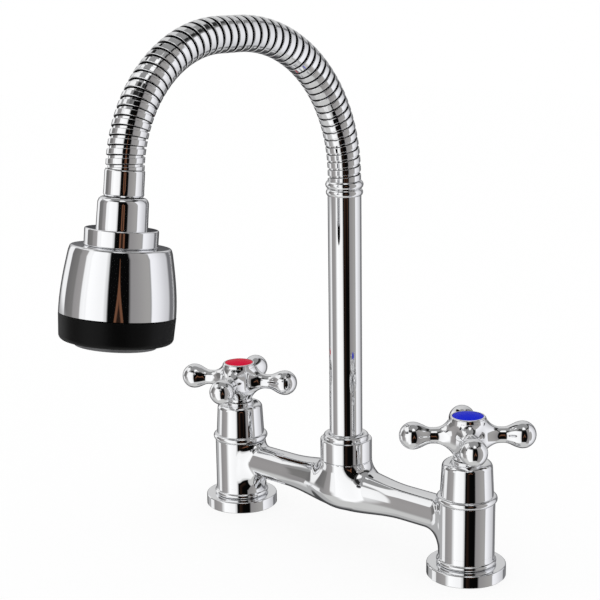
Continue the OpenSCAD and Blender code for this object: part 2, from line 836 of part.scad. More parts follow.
// water way and carrier inside the bell
module head_core() {
    color([0.75, 0.75, 0.73])
        at_head()
            difference() {
                union() {
                    translate([0, 0, bell_z + bell_wall]) cylinder(d = core_d, h = core_plate_h);
                    translate([0, 0, bell_z + bell_wall]) cylinder(d = core_tube_d, h = bell_h);
                }
                translate([0, 0, bell_z]) cylinder(d = water_d, h = bell_h);
                translate([0, 0, bell_z + core_step]) cylinder(d = aerator_d + 3, h = bell_h);
            }
}

// black ring that is turned by hand to change from stream to spray
module selector_ring() {
    r = ring_d / 2;
    top = ring_z + free_gap;
    color([0.05, 0.05, 0.05])
        at_head()
            rotate_extrude()
                polygon(concat([[r - ring_wall, top], [r - 0.4, top], [r, top + 0.4]],
                    arc([r - 0.7 - ring_edge, ring_foot_z - ring_edge], ring_edge, 0, 90, 6),
                    [[r - ring_wall - 2, ring_foot_z], [r - ring_wall - 2, ring_foot_z - ring_lip],
                     [r - ring_wall, ring_foot_z - ring_lip]]));
}

// face plate with rings of small nozzles round the aerator
module spray_face() {
    plate_z = ring_foot_z - ring_lip - face_plate_h;
    through = face_plate_h + ring_lip + face_rise + 2;
    color([0.35, 0.35, 0.36])
        at_head()
            difference() {
                union() {
                    translate([0, 0, plate_z]) cylinder(r = face_flange_r, h = face_plate_h);
                    ring(core_tube_d + 2 * hub_wall, core_tube_d + 2 * run_gap,
                         plate_z - ring_z + hub_reach + 1, ring_z - hub_reach);
                    translate([0, 0, plate_z])
                        cylinder(d1 = face_d + 2, d2 = face_d, h = face_plate_h + ring_lip + face_rise);
                }
                translate([0, 0, plate_z - 1]) cylinder(d = aerator_d + 2 * fit_gap, h = through);
                for (row = [1:nozzle_rows])
                    let (r = aerator_d / 2 + 1 + nozzle_pitch * (row - 0.4), count = 6 + 6 * row)
                        for (i = [0:count - 1])
                            rotate(360 * i / count) translate([r, 0, plate_z - 1])
                                cylinder(d = nozzle_d, h = through, $fn = 16);
            }
}

module aerator() {
    top = ring_foot_z - aerator_reach;
    foot = ring_foot_z + face_rise - 0.4;
    bars = 7;
    wall = 2;
    screen_d = aerator_d - 2 * wall;
    color([0.6, 0.6, 0.62])
        at_head()
            difference() {
                translate([0, 0, top]) cylinder(d = aerator_d, h = foot - top);
                translate([0, 0, top - 1]) cylinder(d = screen_d, h = foot - top - 1);
                for (i = [1:bars], j = [1:bars])
                    let (step = screen_d / bars,
                         x = (i - (bars + 1) / 2) * step, y = (j - (bars + 1) / 2) * step)
                        if (norm([x, y]) < screen_d / 2 - 1)
                            translate([x, y, foot - 3]) cylinder(d = step - 0.8, h = 4, $fn = 4);
            }
}

bridge_body();
at_hot() flange();  // hot_flange
at_cold() flange();  // cold_flange
at_hot() gasket();  // hot_gasket
at_cold() gasket();  // cold_gasket
at_hot() cartridge();  // hot_cartridge
at_cold() cartridge();  // cold_cartridge
at_hot() seat();  // hot_seat
at_cold() seat();  // cold_seat
at_hot() ceramic_disc(disc_z, fit_gap);  // hot_fixed_disc
at_cold() ceramic_disc(disc_z, fit_gap);  // cold_fixed_disc
at_hot() rotate(90) ceramic_disc(turning_z, run_gap);  // hot_turning_disc
at_cold() rotate(90) ceramic_disc(turning_z, run_gap);  // cold_turning_disc
at_hot() spindle();  // hot_spindle
at_cold() spindle();  // cold_spindle
at_hot() shroud();  // hot_shroud
at_cold() shroud();  // cold_shroud
at_hot() handle(hot_angle);  // hot_handle
at_cold() handle(cold_angle);  // cold_handle
at_hot() handle_screw();  // hot_screw
at_cold() handle_screw();  // cold_screw
at_hot() button([0.80, 0.05, 0.15]);  // hot_button
at_cold() button([0.05, 0.12, 0.80]);  // cold_button
riser_nut();
riser_collar();
riser_washer();
riser_foot();
riser_seals();
riser_tube();
hose_ferrule();
hose_segment(1);  // hose_1
hose_segment(2);  // hose_2
hose_segment(3);  // hose_3
hose_segment(4);  // hose_4
hose_segment(5);  // hose_5
hose_segment(6);  // hose_6
hose_segment(7);  // hose_7
hose_segment(8);  // hose_8
inner_hose();
head_sleeve();
head_union();
head_washer();
head_collar();
head_bell();
head_core();
selector_ring();
spray_face();
aerator();
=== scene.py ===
import math

import bmesh
import bpy
import numpy as np
from mathutils import Matrix, Vector


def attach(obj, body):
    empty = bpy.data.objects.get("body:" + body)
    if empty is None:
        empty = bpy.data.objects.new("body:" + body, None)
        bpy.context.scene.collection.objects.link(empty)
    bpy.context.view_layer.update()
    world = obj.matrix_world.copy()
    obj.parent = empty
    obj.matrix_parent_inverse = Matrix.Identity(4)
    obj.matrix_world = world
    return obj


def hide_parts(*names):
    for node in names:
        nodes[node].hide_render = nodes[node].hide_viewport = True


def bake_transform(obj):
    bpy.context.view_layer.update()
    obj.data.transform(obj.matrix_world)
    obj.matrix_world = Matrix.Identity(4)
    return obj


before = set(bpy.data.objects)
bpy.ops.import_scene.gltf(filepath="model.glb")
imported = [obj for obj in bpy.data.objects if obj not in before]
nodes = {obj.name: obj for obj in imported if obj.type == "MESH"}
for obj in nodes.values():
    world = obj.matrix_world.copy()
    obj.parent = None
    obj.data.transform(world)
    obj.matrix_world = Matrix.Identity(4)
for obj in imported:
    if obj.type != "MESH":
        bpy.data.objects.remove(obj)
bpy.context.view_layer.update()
scene = bpy.context.scene
scene.view_settings.view_transform = "Standard"
mm = 0.001


# Camera
# It stands to the right of the spout and a little above the handles, and looks at the faucet
# through a long lens, tipped very slightly to one side.
view_azimuth = math.radians(42.1)
view_elevation = math.radians(12.96)
view_roll = math.radians(-0.79)
view_distance = 967.3 * mm
view_side = -29.9 * mm
view_height = 165.7 * mm
view_lens = 87.75

level = Vector((math.cos(view_azimuth), math.sin(view_azimuth), 0))
back = Vector((math.sin(view_azimuth) * math.cos(view_elevation),
               -math.cos(view_azimuth) * math.cos(view_elevation), math.sin(view_elevation)))
upright = back.cross(level)
right = level * math.cos(view_roll) + upright * math.sin(view_roll)
up = upright * math.cos(view_roll) - level * math.sin(view_roll)
camera_data = bpy.data.cameras.new("camera")
camera_data.sensor_width = 36
camera_data.lens = view_lens
camera_data.clip_start = 0.01
camera = bpy.data.objects.new("camera", camera_data)
camera.matrix_world = Matrix((right, up, back)).transposed().to_4x4()
camera.location = level * view_side + Vector((0, 0, view_height)) + back * view_distance
scene.collection.objects.link(camera)
scene.camera = camera


# Studio
# A white cove with soft even light. Polished metal sees the boxes, flags and grey walls that stand
# round the faucet: each fills a window of angles round the view and a window of heights.
class Wire:
    """a value on its way through a node tree; sums and products of wires add Math nodes"""

    def __init__(self, recipe, socket):
        self.recipe = recipe
        self.socket = socket

    def math(self, operation, first, second):
        return self.recipe.node("ShaderNodeMath", {"operation": operation}, {0: first, 1: second})

    def __add__(self, other):
        return self.math("ADD", self, other)

    def __radd__(self, other):
        return self.math("ADD", other, self)

    def __sub__(self, other):
        return self.math("SUBTRACT", self, other)

    def __rsub__(self, other):
        return self.math("SUBTRACT", other, self)

    def __mul__(self, other):
        return self.math("MULTIPLY", self, other)

    def __rmul__(self, other):
        return self.math("MULTIPLY", other, self)


class Recipe:
    """the node tree of a finish or of the studio"""

    def __init__(self, tree):
        self.tree = tree
        tree.nodes.clear()

    def node(self, kind, settings=None, sockets=None, out=0):
        made = self.tree.nodes.new(kind)
        for name, value in (settings or {}).items():
            setattr(made, name, value)
        for name, value in (sockets or {}).items():
            if isinstance(value, Wire):
                self.tree.links.new(value.socket, made.inputs[name])
            else:
                made.inputs[name].default_value = value
        return Wire(self, made.outputs[out]) if made.outputs else None

    def ramp(self, value, start, end, low=0.0, high=1.0):
        return self.node("ShaderNodeMapRange", {"interpolation_type": "SMOOTHSTEP"},
                         {0: value, 1: start, 2: end, 3: low, 4: high})

    def mix(self, factor, first, second):
        return self.node("ShaderNodeMix", {"data_type": "RGBA"},
                         {0: factor, 6: first, 7: second}, out=2)


world = bpy.data.worlds.new("studio")
scene.world = world
world.use_nodes = True
studio = Recipe(world.node_tree)
ray = studio.node("ShaderNodeTexCoord")


def along(direction):
    return studio.node("ShaderNodeVectorMath", {"operation": "DOT_PRODUCT"},
                       {0: ray, 1: direction}, out="Value")


# turn is the angle round the faucet, 0 towards the camera and 90 to the right of the picture, and
# height the angle over the horizon, both in degrees
turn = studio.node("ShaderNodeMath", {"operation": "ARCTAN2"}, {
    0: along(level), 1: along(Vector((back.x, back.y, 0)).normalized())}) * math.degrees(1)
height = studio.node("ShaderNodeMath", {"operation": "ARCSINE"},
                     {0: along((0, 0, 1))}) * math.degrees(1)
ceiling = (0.30, 0.30, 0.30, 1)
cove = (0.62, 0.62, 0.61, 1)
light = studio.mix(studio.ramp(height, -40, -15), cove, ceiling)
# what it is, from and to in degrees round, from and to in height, softness at its left, right and foot,
# colour at its left and at its right
panels = [
    ("wall behind on the left", -180, -112, -60, 60, 1, 4, 12, (0.40, 0.40, 0.41), (0.46, 0.46, 0.46)),
    ("pale head of that wall", -180, -126, 12, 62, 1, 1, 6, (0.66, 0.66, 0.66), (0.74, 0.74, 0.74)),
    ("dark edge of that wall", -180, -148, -60, 2, 1, 5, 12, (0.05, 0.05, 0.055), (0.09, 0.09, 0.09)),
    ("narrow box on the left", -122, -102, -30, -9, 2, 2, 8, (0.97, 0.97, 0.98), (0.90, 0.90, 0.90)),
    ("narrow box beside the head", -142, -118, -7, 24, 2, 2, 3, (0.98, 0.98, 0.98), (0.98, 0.98, 0.98)),
    ("window over the flag", -128, -74, 32, 59, 2, 3, 3, (0.95, 0.95, 0.95), (1.02, 1.02, 1.02)),
    ("post beside the window", -146, -127, 40, 62, 1, 1, 4, (0.012, 0.012, 0.012), (0.012, 0.012, 0.012)),
    ("grey flag on the left", -103, -64, -30, 33, 2, 3, 8, (0.30, 0.29, 0.29), (0.38, 0.365, 0.36)),
    ("dark flag beside the head", -119, -91, -7, 22, 2, 3, 3, (0.17, 0.165, 0.165), (0.21, 0.205, 0.20)),
    ("large box on the left", -67, -14, -60, 36, 4, 3, 2, (0.76, 0.76, 0.76), (0.74, 0.74, 0.74)),
    ("box in front of the flag's edge", -72, -60, -6, 40, 2, 3, 3, (0.98, 0.98, 0.98), (1.05, 1.05, 1.05)),
    ("middle of the large box", -60, -20, -60, 40, 5, 3, 2, (1.12, 1.12, 1.12), (1.02, 1.02, 1.02)),
    ("black flag before the faucet", -14, 31, -50, 46, 2, 4, 2, (0.003, 0.003, 0.003), (0.002, 0.002, 0.002)),
    ("brown door in the flag", -6, 4, -40, -10, 2, 2, 3, (0.022, 0.012, 0.008), (0.010, 0.006, 0.005)),
    ("dark edge of the ceiling", -50, 176, 45, 60, 5, 4, 4, (0.02, 0.02, 0.02), (0.03, 0.03, 0.03)),
    ("lamp over the flag", -10, 30, 54, 76, 4, 4, 3, (1.10, 1.10, 1.10), (1.10, 1.10, 1.10)),
    ("grey wall on the right", 30, 73, -60, 52, 4, 3, 2, (0.30, 0.29, 0.29), (0.39, 0.38, 0.37)),
    ("box on the right", 75, 127, -60, 40, 2, 6, 2, (0.98, 0.98, 1.01), (0.62, 0.62, 0.64)),
    ("dark line on the right", 128, 148, -60, 40, 4, 6, 8, (0.17, 0.17, 0.18), (0.21, 0.21, 0.22)),
    ("wall behind on the right", 148, 180, -60, 60, 6, 1, 12, (0.36, 0.36, 0.37), (0.40, 0.40, 0.41)),
    ("dark edge of the right wall", 152, 180, -60, 2, 4, 1, 12, (0.10, 0.10, 0.10), (0.05, 0.05, 0.055)),
    ("pale head of the right wall", 140, 180, 12, 62, 5, 1, 6, (0.56, 0.56, 0.57), (0.66, 0.66, 0.66)),
]
soft_head = 1.5
# the angles meet behind the faucet; a panel that goes on past there has no soft edge on its right
seam_behind = 180
for (_, left_edge, right_edge, foot, head, soft_left, soft_right, soft_foot,
     left_shade, right_shade) in panels:
    across = studio.ramp(turn, left_edge - soft_left, left_edge + soft_left)
    if right_edge < seam_behind:
        across = across * studio.ramp(turn, right_edge + soft_right, right_edge - soft_right)
    upwards = (studio.ramp(height, foot - soft_foot, foot + soft_foot)
               * studio.ramp(height, head + soft_head, head - soft_head))
    shade = studio.mix(studio.ramp(turn, left_edge, right_edge),
                       (*left_shade, 1), (*right_shade, 1))
    light = studio.mix(across * upwards, light, shade)
# a brown curtain hangs before the black flag: its half width falls from 13 degrees at height -20 to
# 0.2 at height 22, and it fades in at its foot, out at its head, and from its hem to its darker middle
curtain_middle = 8
curtain_half = studio.ramp(height, -20, 22, 13, 0.2)
curtain_soft = 0.8
curtain_foot = (-13, -4)
curtain_head = (26, 18)
curtain_hem = (-6, -3)
off_middle = studio.node("ShaderNodeMath", {"operation": "ABSOLUTE"}, {0: turn - curtain_middle})
curtain = (studio.ramp(off_middle - curtain_half, curtain_soft, -curtain_soft)
           * studio.ramp(height, *curtain_foot) * studio.ramp(height, *curtain_head))
fold = studio.ramp(off_middle - curtain_half, *curtain_hem)
light = studio.mix(curtain, light,
                   studio.mix(fold, (0.020, 0.011, 0.008, 1), (0.17, 0.075, 0.042, 1)))
camera_ray = studio.node("ShaderNodeLightPath", out="Is Camera Ray")
mirror_ray = studio.node("ShaderNodeLightPath", out="Is Glossy Ray")
seen = studio.mix(mirror_ray, (1, 1, 1, 1), light)
seen = studio.mix(camera_ray, seen, (1, 1, 1, 1))
surround = studio.node("ShaderNodeBackground", None, {"Color": seen, "Strength": 1.0})
studio.node("ShaderNodeOutputWorld", None, {"Surface": surround})


def linked(name, data):
    """new object in the scene"""
    made = bpy.data.objects.new(name, data)
    scene.collection.objects.link(made)
    return made


# the floor glows for the camera, so that it stays white, and polished metal doesn't see it
floor_mesh = bpy.data.meshes.new("floor")
floor_half = 3.0
floor_z = -0.05 * mm
floor_glow = 0.85
floor_corners = [(x * floor_half, y * floor_half, floor_z)
                 for x, y in ((-1, -1), (1, -1), (1, 1), (-1, 1))]
floor_mesh.from_pydata(floor_corners, [], [(0, 1, 2, 3)])
floor = linked("floor", floor_mesh)
floor_finish = bpy.data.materials.new("white cove")
floor_finish.use_nodes = True
cove_floor = Recipe(floor_finish.node_tree)
paint = cove_floor.node("ShaderNodeBsdfDiffuse", None, {"Color": (0.985, 0.985, 0.985, 1)})
glow = cove_floor.node("ShaderNodeEmission", None, {"Color": (1, 1, 1, 1), "Strength": 1.0})
floor_camera_ray = cove_floor.node("ShaderNodeLightPath", out="Is Camera Ray")
lit = cove_floor.node("ShaderNodeMixShader", None,
                      {0: floor_glow * floor_camera_ray, 1: paint, 2: glow})
clear = cove_floor.node("ShaderNodeBsdfTransparent")
floor_mirror_ray = cove_floor.node("ShaderNodeLightPath", out="Is Glossy Ray")
shown = cove_floor.node("ShaderNodeMixShader", None, {0: floor_mirror_ray, 1: lit, 2: clear})
cove_floor.node("ShaderNodeOutputMaterial", None, {"Surface": shown})
floor_mesh.materials.append(floor_finish)


# Bridge body
# One hollow casting of brass, ground, polished and chrome plated: two pillars, two arms that open
# into them through a rounded throat, and a centre body that the riser stands in.
inlet_spacing = 200
flange_h = 8
pillar_d = 36
pillar_top = 49
axis_z = 35.5
arm_d = 22.8
swell_d = 32.4
swell_run = 52
centre_d = 35
tee_top = 55.5
centre_flatness = 1.2
arm_end = 13
foot_d = 38.6
foot_h = 3.4
cove_out, cove_up, cove_r = 0.9, 0.6, 0.88
under_arm = 9
rim_h = 4
rim_edge = 0.4
rim_in = 0.38
rim_w = 5
# how far a turned ring stands off the casting that it covers
skin_lap = 0.02
# radii of the hollow fillets at the side, above and below
throat_side, throat_top, throat_foot = 5, 7, 13
throat_ease = 1.5
centre_side, centre_top, centre_foot = 13, 5.5, 1
casting_step = 0.9
side_places = {"hot": -inlet_spacing / 2, "cold": inlet_spacing / 2}


def new_finish(name):
    """an empty material, its node tree, and the place on the piece"""
    made = bpy.data.materials.new(name)
    made.use_nodes = True
    finish = Recipe(made.node_tree)
    return made, finish, finish.node("ShaderNodeTexCoord", out="Object")


def chrome(name, tint, roughness):
    """polished plate: faint waves, faint patches of wear and a breath of haze"""
    made, finish, place = new_finish(name)
    patches = finish.node("ShaderNodeTexNoise", None, {"Vector": place, "Scale": 55.0, "Detail": 3.0})
    waves = finish.node("ShaderNodeTexNoise", None, {"Vector": place, "Scale": 160.0, "Detail": 1.0})
    shade = finish.mix(patches, tuple(0.965 * c for c in tint) + (1,), tuple(tint) + (1,))
    bump = finish.node("ShaderNodeBump", None, {"Strength": 0.10, "Distance": 0.02 * mm, "Height": waves})
    surface = finish.node("ShaderNodeBsdfPrincipled", None, {
        "Base Color": shade, "Metallic": 1.0,
        "Roughness": roughness * (0.7 + 0.6 * patches), "Normal": bump})
    finish.node("ShaderNodeOutputMaterial", None, {"Surface": surface})
    return made


chrome_plate = chrome("chrome plate on brass", (0.90, 0.905, 0.915), 0.035)


def fillet(first, second, radius):
    """two distances joined into one, with a hollow fillet of that radius between them"""
    return (np.maximum(radius, np.minimum(first, second))
            - np.hypot(np.maximum(radius - first, 0), np.maximum(radius - second, 0)))


def slope(field, points):
    """direction in which the distance grows fastest, at each point"""
    reach = 0.02
    steps = reach * np.eye(3)
    rise = np.stack([field(*(points + s).T) - field(*(points - s).T) for s in steps], axis=1)
    return rise / (2 * reach)


def skin(name, field, low, high, step, place=Matrix.Identity(4)):
    """smooth mesh on the surface where field, a distance in mm, is zero"""
    axes = [np.arange(a, b + step, step) for a, b in zip(low, high)]
    inside = field(*np.meshgrid(*axes, indexing="ij")) < 0
    cells = tuple(n - 1 for n in inside.shape)
    count = np.zeros(cells, int)
    for corner in np.ndindex(2, 2, 2):
        count += inside[tuple(slice(c, c + n) for c, n in zip(corner, cells))]
    crossed = (count > 0) & (count < 8)
    number = np.full(cells, -1)
    number[crossed] = np.arange(crossed.sum())
    points = (np.argwhere(crossed) + 0.5) * step + np.array(low)
    for _ in range(5):
        grade = slope(field, points)
        length = np.maximum((grade ** 2).sum(1), 0.05)
        move = -(field(*points.T) / length)[:, None] * grade
        points = points + np.clip(move, -step, step)
    quads = []
    for axis in range(3):
        u, v = (axis + 1) % 3, (axis + 2) % 3
        one = np.moveaxis(inside, axis, 0)
        change = np.moveaxis(one[:-1] != one[1:], 0, axis)
        outward = np.moveaxis(one[:-1], 0, axis)
        edges = np.argwhere(change)
        edges = edges[(edges[:, u] > 0) & (edges[:, v] > 0)
                      & (edges[:, u] < cells[u]) & (edges[:, v] < cells[v])]
        du = np.eye(3, dtype=int)[u]
        dv = np.eye(3, dtype=int)[v]
        ring = [number[tuple((edges - du * a - dv * b).T)]
                for a, b in ((0, 0), (1, 0), (1, 1), (0, 1))]
        ring = np.stack(ring, axis=1)
        flip = ~outward[tuple(edges.T)]
        ring[flip] = ring[flip][:, ::-1]
        quads.append(ring)
    quads = np.concatenate(quads)
    normals = slope(field, points)
    normals /= np.linalg.norm(normals, axis=1)[:, None]
    turned_to = np.array(place.to_3x3())
    mesh = bpy.data.meshes.new(name)
    placed = points @ turned_to.T * mm + np.array(place.translation)
    mesh.from_pydata(placed.tolist(), [], quads.tolist())
    mesh.shade_smooth()
    mesh.normals_split_custom_set_from_vertices((normals @ turned_to.T).tolist())
    return linked(name, mesh)


def bend(centre_r, centre_z, radius, start, end, steps=8):
    """stretch of an outline that turns round a centre, with angles in degrees"""
    angles = np.radians(np.linspace(start, end, steps + 1))
    return [(centre_r + radius * math.cos(a), centre_z + radius * math.sin(a)) for a in angles]


def turned(name, runs, place=Matrix.Identity(4), sides=192):
    """mesh turned about the z axis of place; a run is one smooth stretch of the outline in mm,
    [(r, z), ...], and where one run ends and the next begins there is a sharp edge"""
    rings = [runs[0][0]]
    strips = []
    for run in runs:
        points = np.array(run, float)
        reach = np.gradient(points, axis=0)
        if len(points) > 2:
            reach[0] = -1.5 * points[0] + 2 * points[1] - 0.5 * points[2]
            reach[-1] = 1.5 * points[-1] - 2 * points[-2] + 0.5 * points[-3]
        reach /= np.linalg.norm(reach, axis=1)[:, None]
        facing = np.stack([reach[:, 1], -reach[:, 0]], axis=1)
        if np.hypot(*(points[0] - rings[-1])) > 1e-6:
            rings.append(tuple(points[0]))
        for i in range(1, len(points)):
            strips.append((len(rings) - 1, len(rings), facing[i - 1], facing[i]))
            rings.append(tuple(points[i]))
    around = 2 * np.pi * np.arange(sides) / sides
    vertices = []
    index = []
    for r, z in rings:
        if r < 1e-6:
            index.append([len(vertices)] * sides)
            vertices.append((0, 0, z))
        else:
            index.append(list(range(len(vertices), len(vertices) + sides)))
            vertices += [(r * math.cos(a), r * math.sin(a), z) for a in around]
    faces = []
    normals = []
    for lower, upper, facing_low, facing_high in strips:
        for i in range(sides):
            j = (i + 1) % sides
            corners = [(index[lower][i], i, facing_low), (index[lower][j], j, facing_low),
                       (index[upper][j], j, facing_high), (index[upper][i], i, facing_high)]
            if corners[0][0] == corners[1][0]:
                corners.pop(0)
            elif corners[2][0] == corners[3][0]:
                corners.pop(2)
            faces.append([c[0] for c in corners])
            normals += [(f[0] * math.cos(around[k]), f[0] * math.sin(around[k]), f[1])
                        for _, k, f in corners]
    turned_to = np.array(place.to_3x3())
    mesh = bpy.data.meshes.new(name)
    placed = np.array(vertices) @ turned_to.T * mm + np.array(place.translation)
    mesh.from_pydata(placed.tolist(), [], faces)
    mesh.shade_smooth()
    mesh.normals_split_custom_set((np.array(normals) @ turned_to.T).tolist())
    return linked(name, mesh)


def fitted(piece, material, slot, body, *replaced):
    """gives a piece its material and fixes it to its body in place of the plain solids;
    the slot argument is not used"""
    piece.data.materials.clear()
    piece.data.materials.append(material)
    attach(piece, body)
    if replaced:
        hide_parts(*replaced)
    return piece


def finished(material, *names):
    """gives CAD nodes their material"""
    for name in names:
        nodes[name].data.materials.clear()
        nodes[name].data.materials.append(material)


def at(x, z=0.0):
    """place of an upright piece, from mm"""
    return Matrix.Translation((x * mm, 0, z * mm))


def casting(x, y, z):
    """distance in mm to the surface of the bridge"""
    side = np.abs(x)
    radial = np.hypot(y, z - axis_z)
    bulge = 0.5 + 0.5 * np.cos(np.pi * np.clip(side / swell_run, 0, 1))
    beside = radial - arm_d / 2 - (swell_d - arm_d) / 2 * bulge
    past = side - (inlet_spacing / 2 - arm_end)
    arm = (np.minimum(np.maximum(beside, past), 0)
           + np.hypot(np.maximum(beside, 0), np.maximum(past, 0)))
    pillar = np.hypot(side - inlet_spacing / 2, y) - pillar_d / 2
    rise = (z - axis_z) / np.maximum(radial, 0.5)
    throat = (throat_side + (throat_top - throat_side) * np.clip(rise, 0, 1) ** throat_ease
              + (throat_foot - throat_side) * np.clip(-rise, 0, 1) ** throat_ease)
    body = fillet(pillar, arm, throat)
    below = np.maximum(axis_z - z, 0)
    centre = np.sqrt(x * x + y * y + (centre_flatness * below) ** 2) - centre_d / 2
    hollow = (centre_side + (centre_top - centre_side) * np.clip(rise, 0, 1)
              + (centre_foot - centre_side) * np.clip(-rise, 0, 1))
    body = fillet(body, centre, hollow)
    top = np.where(side > inlet_spacing / 4, pillar_top, tee_top)
    return np.maximum(np.maximum(body, z - top), flange_h + foot_h - z)


bridge = skin("bridge_casting", casting, (-120, -21, 9), (120, 21, 58), casting_step)
fitted(bridge, chrome_plate, "chrome", "root", "bridge_body")

bead = foot_h / 2
for side_name, x in side_places.items():
    foot = turned(side_name + "_pillar_foot", [
        bend(foot_d / 2 - bead, flange_h + bead, bead, -90, 60, 12),
        bend(pillar_d / 2 + cove_out, flange_h + foot_h + cove_up, cove_r, 240, 180, 6),
        [(pillar_d / 2 + skin_lap, flange_h + foot_h + cove_up),
         (pillar_d / 2 + skin_lap, axis_z - arm_d / 2 - under_arm)]], at(x))
    fitted(foot, chrome_plate, "chrome", "root")
    crown = turned(side_name + "_pillar_rim", [
        [(pillar_d / 2 + skin_lap, pillar_top - rim_h),
         (pillar_d / 2 + skin_lap, pillar_top - rim_edge)],
        bend(pillar_d / 2 - rim_in, pillar_top - rim_edge, rim_edge, 0, 90, 3),
        [(pillar_d / 2 - rim_in, pillar_top), (pillar_d / 2 - rim_w, pillar_top)]], at(x))
    fitted(crown, chrome_plate, "chrome", "root")


# Deck flanges and gaskets
# Turned brass rings with a soft edge, chrome plated, that cover the holes in the deck. A ring of
# black rubber is let into the underside of each.
flange_d = 50.8
flange_bore = 28
flange_edge = 1.0
flange_chamfer = 0.4


def black_rubber(name, shade, roughness, gloss=0.3):
    """moulded rubber: matt, with a fine grain"""
    made, finish, place = new_finish(name)
    grain = finish.node("ShaderNodeTexNoise", None, {"Vector": place, "Scale": 900.0, "Detail": 4.0})
    bloom = finish.node("ShaderNodeTexNoise", None, {"Vector": place, "Scale": 40.0, "Detail": 2.0})
    colour = finish.mix(bloom, (0.6 * shade, 0.6 * shade, 0.6 * shade, 1),
                        (1.4 * shade, 1.4 * shade, 1.5 * shade, 1))
    bump = finish.node("ShaderNodeBump", None, {"Strength": 0.25, "Distance": 0.02 * mm, "Height": grain})
    surface = finish.node("ShaderNodeBsdfPrincipled", None, {
        "Base Color": colour, "Roughness": roughness * (0.8 + 0.4 * bloom), "Specular IOR Level": gloss,
        "Normal": bump})
    finish.node("ShaderNodeOutputMaterial", None, {"Surface": surface})
    return made


seal_rubber = black_rubber("seal rubber", 0.02, 0.6)
for side_name, x in side_places.items():
    flange = turned(side_name + "_deck_flange", [
        [(flange_bore / 2, 0), (flange_d / 2 - flange_chamfer, 0)],
        [(flange_d / 2 - flange_chamfer, 0), (flange_d / 2, flange_chamfer)],
        [(flange_d / 2, flange_chamfer), (flange_d / 2, flange_h - flange_edge)],
        bend(flange_d / 2 - flange_edge, flange_h - flange_edge, flange_edge, 0, 90),
        [(flange_d / 2 - flange_edge, flange_h), (flange_bore / 2, flange_h)]], at(x))
    fitted(flange, chrome_plate, "chrome", "root", side_name + "_flange")
finished(seal_rubber, "hot_gasket", "cold_gasket", "hot_seat", "cold_seat", "riser_seals",
         "head_washer")


# Valves
# Machined brass cartridges with ceramic discs inside; a splined spindle comes up through each
# and a steel screw holds the handle on it. All of it is hidden when the faucet is whole.
def machined(name, dark, bright, roughness, marks):
    """turned metal: fine rings from the tool round the vertical axis"""
    made, finish, place = new_finish(name)
    rings = finish.node("ShaderNodeTexWave", {"bands_direction": "Z"},
                        {"Vector": place, "Scale": marks, "Distortion": 1.5, "Detail": 3.0})
    stain = finish.node("ShaderNodeTexNoise", None, {"Vector": place, "Scale": 90.0, "Detail": 4.0})
    bump = finish.node("ShaderNodeBump", None, {"Strength": 0.3, "Distance": 0.02 * mm, "Height": rings})
    surface = finish.node("ShaderNodeBsdfPrincipled", None, {
        "Base Color": finish.mix(stain, (*dark, 1), (*bright, 1)), "Metallic": 1.0,
        "Roughness": roughness * (0.7 + 0.6 * stain), "Normal": bump})
    finish.node("ShaderNodeOutputMaterial", None, {"Surface": surface})
    return made


def moulded(name, dark, bright, roughness):
    """moulded or pressed piece: slightly uneven colour and a fine grain"""
    made, finish, place = new_finish(name)
    cloud = finish.node("ShaderNodeTexNoise", None, {"Vector": place, "Scale": 60.0, "Detail": 3.0})
    grain = finish.node("ShaderNodeTexNoise", None, {"Vector": place, "Scale": 1200.0, "Detail": 2.0})
    bump = finish.node("ShaderNodeBump", None, {"Strength": 0.2, "Distance": 0.01 * mm, "Height": grain})
    surface = finish.node("ShaderNodeBsdfPrincipled", None, {
        "Base Color": finish.mix(cloud, (*dark, 1), (*bright, 1)),
        "Roughness": roughness * (0.8 + 0.4 * cloud), "Normal": bump})
    finish.node("ShaderNodeOutputMaterial", None, {"Surface": surface})
    return made


brass = machined("machined brass", (0.62, 0.42, 0.16), (0.80, 0.60, 0.28), 0.28, 900.0)
steel = machined("turned steel", (0.50, 0.50, 0.52), (0.66, 0.66, 0.68), 0.30, 1400.0)
ceramic = moulded("lapped ceramic", (0.84, 0.83, 0.80), (0.90, 0.89, 0.86), 0.22)
finished(brass, "hot_cartridge", "cold_cartridge", "hot_spindle", "cold_spindle", "riser_foot")
finished(ceramic, "hot_fixed_disc", "cold_fixed_disc", "hot_turning_disc", "cold_turning_disc")
finished(steel, "hot_screw", "cold_screw")


# Shrouds
# Turned brass caps, chrome plated, that screw down over the valves. Each has a rounded bead at
# its foot, a soft shoulder and a low lip round the spindle.
bead_d = 38.8
bead_h = 4.6
shroud_d = 34.2
shroud_top_d = 32.2
shroud_top = 75.5
shroud_edge = 3.6
lip_d = 19.6
lip_top = 76.9
lip_edge = 0.7
spindle_gap_d = 8.8
shroud_lap = 3
lip_depth = 3
bead_stop = 78

